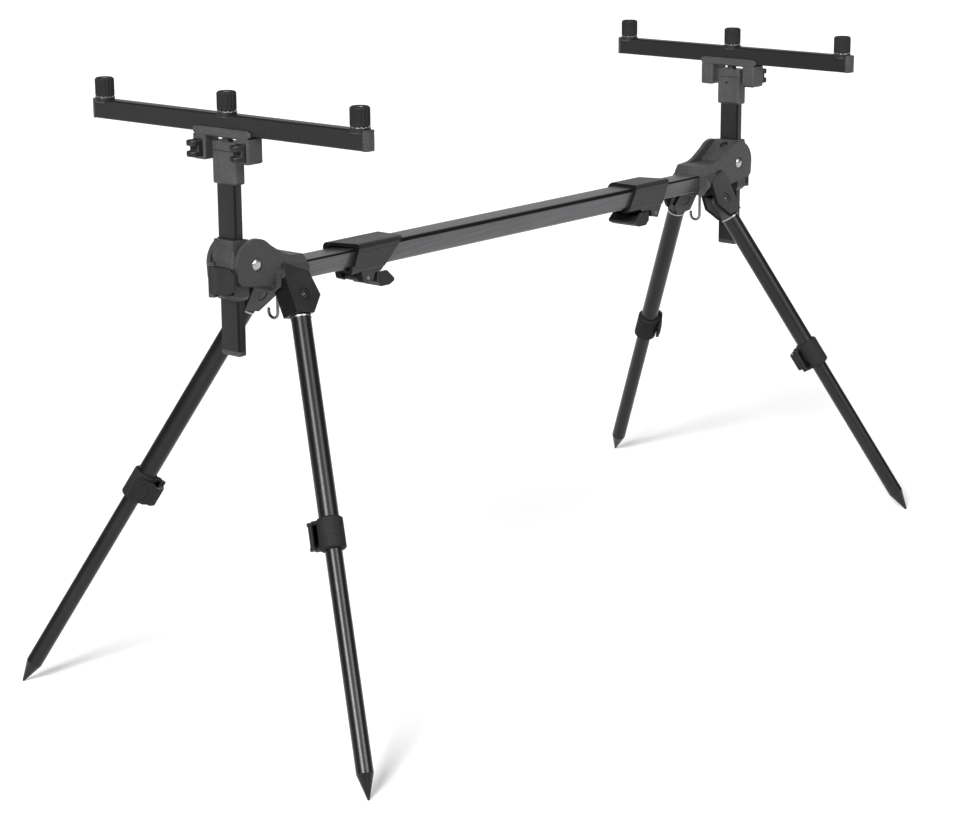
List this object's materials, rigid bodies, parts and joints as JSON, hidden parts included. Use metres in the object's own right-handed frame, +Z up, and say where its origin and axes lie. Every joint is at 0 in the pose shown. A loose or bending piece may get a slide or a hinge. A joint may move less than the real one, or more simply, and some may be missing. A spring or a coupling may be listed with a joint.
{
  "type": "folding rod pod",
  "caption": "Folding fishing rod pod with a sliding centre bar, telescopic splayed legs, folding posts and lift-off cross bars that carry threaded rod rest mounts.",
  "frame": {"origin": "on the floor under the middle of the four spike tips", "axes": "+X from the front end to the rear end along the bar, +Y to the left, +Z up"},
  "size_m": [0.9333, 0.4746, 0.5959],
  "materials": {
    "gunmetal_bar": "satin",
    "black_tube": "gloss",
    "charcoal_plastic": "matt",
    "black_plastic": "matt",
    "bright_steel": "polished"
  },
  "bodies": {
    "centre": {"centre_tube": "gunmetal_bar", "front_bar_clamp": "charcoal_plastic", "rear_bar_clamp": "charcoal_plastic", "clamp_pins": "bright_steel"},
    "front_bar_lever": {"front_bar_lever": "black_plastic"},
    "front_end": {"front_inner_bar": "gunmetal_bar", "front_head": "charcoal_plastic", "front_head_fasteners": "bright_steel"},
    "front_hook": {"front_hook": "bright_steel"},
    "front_collar": {"front_post_collar": "charcoal_plastic"},
    "front_post_lever": {"front_post_lever": "black_plastic"},
    "front_post": {"front_post": "black_tube", "front_post_foot": "charcoal_plastic", "front_post_cap": "charcoal_plastic"},
    "front_buzz": {"front_saddle": "charcoal_plastic", "front_buzz_bar": "black_tube", "front_buzz_ends": "charcoal_plastic", "front_inserts": "bright_steel"},
    "front_buttons": {"front_release_buttons": "black_plastic"},
    "front_knob_left": {"front_knob_left": "black_plastic"},
    "front_knob_middle": {"front_knob_middle": "black_plastic"},
    "front_knob_right": {"front_knob_right": "black_plastic"},
    "rear_bar_lever": {"rear_bar_lever": "black_plastic"},
    "rear_end": {"rear_inner_bar": "gunmetal_bar", "rear_head": "charcoal_plastic", "rear_head_fasteners": "bright_steel"},
    "rear_hook": {"rear_hook": "bright_steel"},
    "rear_collar": {"rear_post_collar": "charcoal_plastic"},
    "rear_post_lever": {"rear_post_lever": "black_plastic"},
    "rear_post": {"rear_post": "black_tube", "rear_post_foot": "charcoal_plastic", "rear_post_cap": "charcoal_plastic"},
    "rear_buzz": {"rear_saddle": "charcoal_plastic", "rear_buzz_bar": "black_tube", "rear_buzz_ends": "charcoal_plastic", "rear_inserts": "bright_steel"},
    "rear_buttons": {"rear_release_buttons": "black_plastic"},
    "rear_knob_left": {"rear_knob_left": "black_plastic"},
    "rear_knob_middle": {"rear_knob_middle": "black_plastic"},
    "rear_knob_right": {"rear_knob_right": "black_plastic"},
    "front_left_leg": {"front_left_knuckle": "charcoal_plastic", "front_left_upper_leg": "black_tube", "front_left_lock": "charcoal_plastic"},
    "front_left_lock_lever": {"front_left_lock_lever": "black_plastic"},
    "front_left_lower": {"front_left_lower_leg": "black_tube"},
    "front_right_leg": {"front_right_knuckle": "charcoal_plastic", "front_right_upper_leg": "black_tube", "front_right_lock": "charcoal_plastic"},
    "front_right_lock_lever": {"front_right_lock_lever": "black_plastic"},
    "front_right_lower": {"front_right_lower_leg": "black_tube"},
    "rear_left_leg": {"rear_left_knuckle": "charcoal_plastic", "rear_left_upper_leg": "black_tube", "rear_left_lock": "charcoal_plastic"},
    "rear_left_lock_lever": {"rear_left_lock_lever": "black_plastic"},
    "rear_left_lower": {"rear_left_lower_leg": "black_tube"},
    "rear_right_leg": {"rear_right_knuckle": "charcoal_plastic", "rear_right_upper_leg": "black_tube", "rear_right_lock": "charcoal_plastic"},
    "rear_right_lock_lever": {"rear_right_lock_lever": "black_plastic"},
    "rear_right_lower": {"rear_right_lower_leg": "black_tube"}
  },
  "joints": [
    {"name": "front_bar_lever_hinge", "type": "hinge", "parent": "centre", "child": "front_bar_lever", "pos_m": [-0.2003, 0, 0.39052], "axis": [0, 1, 0], "range_deg": [0, 100]},
    {"name": "front_bar_slide", "type": "slide", "parent": "centre", "child": "front_end", "axis": [-0.9985, 0, 0.0549], "range_m": [-0.04, 0.085]},
    {"name": "front_hook_swivel", "type": "hinge", "parent": "front_end", "child": "front_hook", "pos_m": [-0.30573, 0, 0.40373], "axis": [0.0549, 0, 0.9985], "continuous": true},
    {"name": "front_post_fold", "type": "hinge", "parent": "front_end", "child": "front_collar", "pos_m": [-0.35006, 0, 0.43547], "axis": [0, 1, 0], "range_deg": [0, 90]},
    {"name": "front_post_lever_hinge", "type": "hinge", "parent": "front_collar", "child": "front_post_lever", "pos_m": [-0.37587, 0.0116, 0.43689], "axis": [-0.0549, 0, -0.9985], "range_deg": [0, 100]},
    {"name": "front_post_slide", "type": "slide", "parent": "front_collar", "child": "front_post", "axis": [0.0549, 0, 0.9985], "range_m": [-0.04, 0.035]},
    {"name": "front_buzz_lift", "type": "slide", "parent": "front_post", "child": "front_buzz", "axis": [0.0549, 0, 0.9985], "range_m": [0, 0.04]},
    {"name": "front_button_press", "type": "slide", "parent": "front_buzz", "child": "front_buttons", "axis": [0.9985, 0, -0.0549], "range_m": [0, 0.004], "stiffness_N_per_m": 800, "springref_m": -0.002},
    {"name": "front_knob_left_turn", "type": "hinge", "parent": "front_buzz", "child": "front_knob_left", "pos_m": [-0.35438, 0.166, 0.57531], "axis": [0.0549, 0, 0.9985], "continuous": true},
    {"name": "front_knob_middle_turn", "type": "hinge", "parent": "front_buzz", "child": "front_knob_middle", "pos_m": [-0.35438, 0, 0.57531], "axis": [0.0549, 0, 0.9985], "continuous": true},
    {"name": "front_knob_right_turn", "type": "hinge", "parent": "front_buzz", "child": "front_knob_right", "pos_m": [-0.35438, -0.166, 0.57531], "axis": [0.0549, 0, 0.9985], "continuous": true},
    {"name": "rear_bar_lever_hinge", "type": "hinge", "parent": "centre", "child": "rear_bar_lever", "pos_m": [0.25901, 0, 0.36526], "axis": [0, -1, 0], "range_deg": [0, 100]},
    {"name": "rear_bar_slide", "type": "slide", "parent": "centre", "child": "rear_end", "axis": [0.9985, 0, -0.0549], "range_m": [-0.04, 0.085]},
    {"name": "rear_hook_swivel", "type": "hinge", "parent": "rear_end", "child": "rear_hook", "pos_m": [0.36525, 0, 0.36683], "axis": [0.0549, 0, 0.9985], "continuous": true},
    {"name": "rear_post_fold", "type": "hinge", "parent": "rear_end", "child": "rear_collar", "pos_m": [0.41279, 0, 0.39351], "axis": [0, -1, 0], "range_deg": [0, 90]},
    {"name": "rear_post_lever_hinge", "type": "hinge", "parent": "rear_collar", "child": "rear_post_lever", "pos_m": [0.4386, -0.0116, 0.39209], "axis": [-0.0549, 0, -0.9985], "range_deg": [0, 100]},
    {"name": "rear_post_slide", "type": "slide", "parent": "rear_collar", "child": "rear_post", "axis": [0.0549, 0, 0.9985], "range_m": [-0.04, 0.035]},
    {"name": "rear_buzz_lift", "type": "slide", "parent": "rear_post", "child": "rear_buzz", "axis": [0.0549, 0, 0.9985], "range_m": [0, 0.04]},
    {"name": "rear_button_press", "type": "slide", "parent": "rear_buzz", "child": "rear_buttons", "axis": [-0.9985, 0, 0.0549], "range_m": [0, 0.004], "stiffness_N_per_m": 800, "springref_m": -0.002},
    {"name": "rear_knob_left_turn", "type": "hinge", "parent": "rear_buzz", "child": "rear_knob_left", "pos_m": [0.43187, 0.146, 0.52185], "axis": [0.0549, 0, 0.9985], "continuous": true},
    {"name": "rear_knob_middle_turn", "type": "hinge", "parent": "rear_buzz", "child": "rear_knob_middle", "pos_m": [0.43187, 0, 0.52185], "axis": [0.0549, 0, 0.9985], "continuous": true},
    {"name": "rear_knob_right_turn", "type": "hinge", "parent": "rear_buzz", "child": "rear_knob_right", "pos_m": [0.43187, -0.146, 0.52185], "axis": [0.0549, 0, 0.9985], "continuous": true},
    {"name": "front_left_leg_fold", "type": "hinge", "parent": "front_end", "child": "front_left_leg", "pos_m": [-0.30684, 0.028, 0.39638], "axis": [-0.0252, -0.8886, -0.458], "range_deg": [0, 92]},
    {"name": "front_left_lock_lever_hinge", "type": "hinge", "parent": "front_left_leg", "child": "front_left_lock_lever", "pos_m": [-0.37121, 0.12005, 0.19486], "axis": [0.3337, -0.4393, 0.8341], "range_deg": [0, 100]},
    {"name": "front_left_leg_slide", "type": "slide", "parent": "front_left_leg", "child": "front_left_lower", "axis": [0.3337, -0.4393, 0.8341], "range_m": [-0.02, 0.14]},
    {"name": "front_right_leg_fold", "type": "hinge", "parent": "front_end", "child": "front_right_leg", "pos_m": [-0.30684, -0.028, 0.39638], "axis": [0.0252, -0.8886, 0.458], "range_deg": [0, 92]},
    {"name": "front_right_lock_lever_hinge", "type": "hinge", "parent": "front_right_leg", "child": "front_right_lock_lever", "pos_m": [-0.39534, -0.11549, 0.20211], "axis": [0.3337, 0.4393, 0.8341], "range_deg": [0, 100]},
    {"name": "front_right_leg_slide", "type": "slide", "parent": "front_right_leg", "child": "front_right_lower", "axis": [0.3337, 0.4393, 0.8341], "range_m": [-0.02, 0.14]},
    {"name": "rear_left_leg_fold", "type": "hinge", "parent": "rear_end", "child": "rear_left_leg", "pos_m": [0.36554, 0.028, 0.3594], "axis": [0.0252, 0.8886, 0.458], "range_deg": [0, 92]},
    {"name": "rear_left_lock_lever_hinge", "type": "hinge", "parent": "rear_left_leg", "child": "rear_left_lock_lever", "pos_m": [0.42781, 0.12525, 0.19268], "axis": [-0.2402, -0.4393, 0.8656], "range_deg": [0, 100]},
    {"name": "rear_left_leg_slide", "type": "slide", "parent": "rear_left_leg", "child": "rear_left_lower", "axis": [-0.2402, -0.4393, 0.8656], "range_m": [-0.02, 0.115]},
    {"name": "rear_right_leg_fold", "type": "hinge", "parent": "rear_end", "child": "rear_right_leg", "pos_m": [0.36554, -0.028, 0.3594], "axis": [-0.0252, 0.8886, -0.458], "range_deg": [0, 92]},
    {"name": "rear_right_lock_lever_hinge", "type": "hinge", "parent": "rear_right_leg", "child": "rear_right_lock_lever", "pos_m": [0.39772, -0.11265, 0.17793], "axis": [-0.2402, 0.4393, 0.8656], "range_deg": [0, 100]},
    {"name": "rear_right_leg_slide", "type": "slide", "parent": "rear_right_leg", "child": "rear_right_lower", "axis": [-0.2402, 0.4393, 0.8656], "range_m": [-0.02, 0.115]}
  ]
}
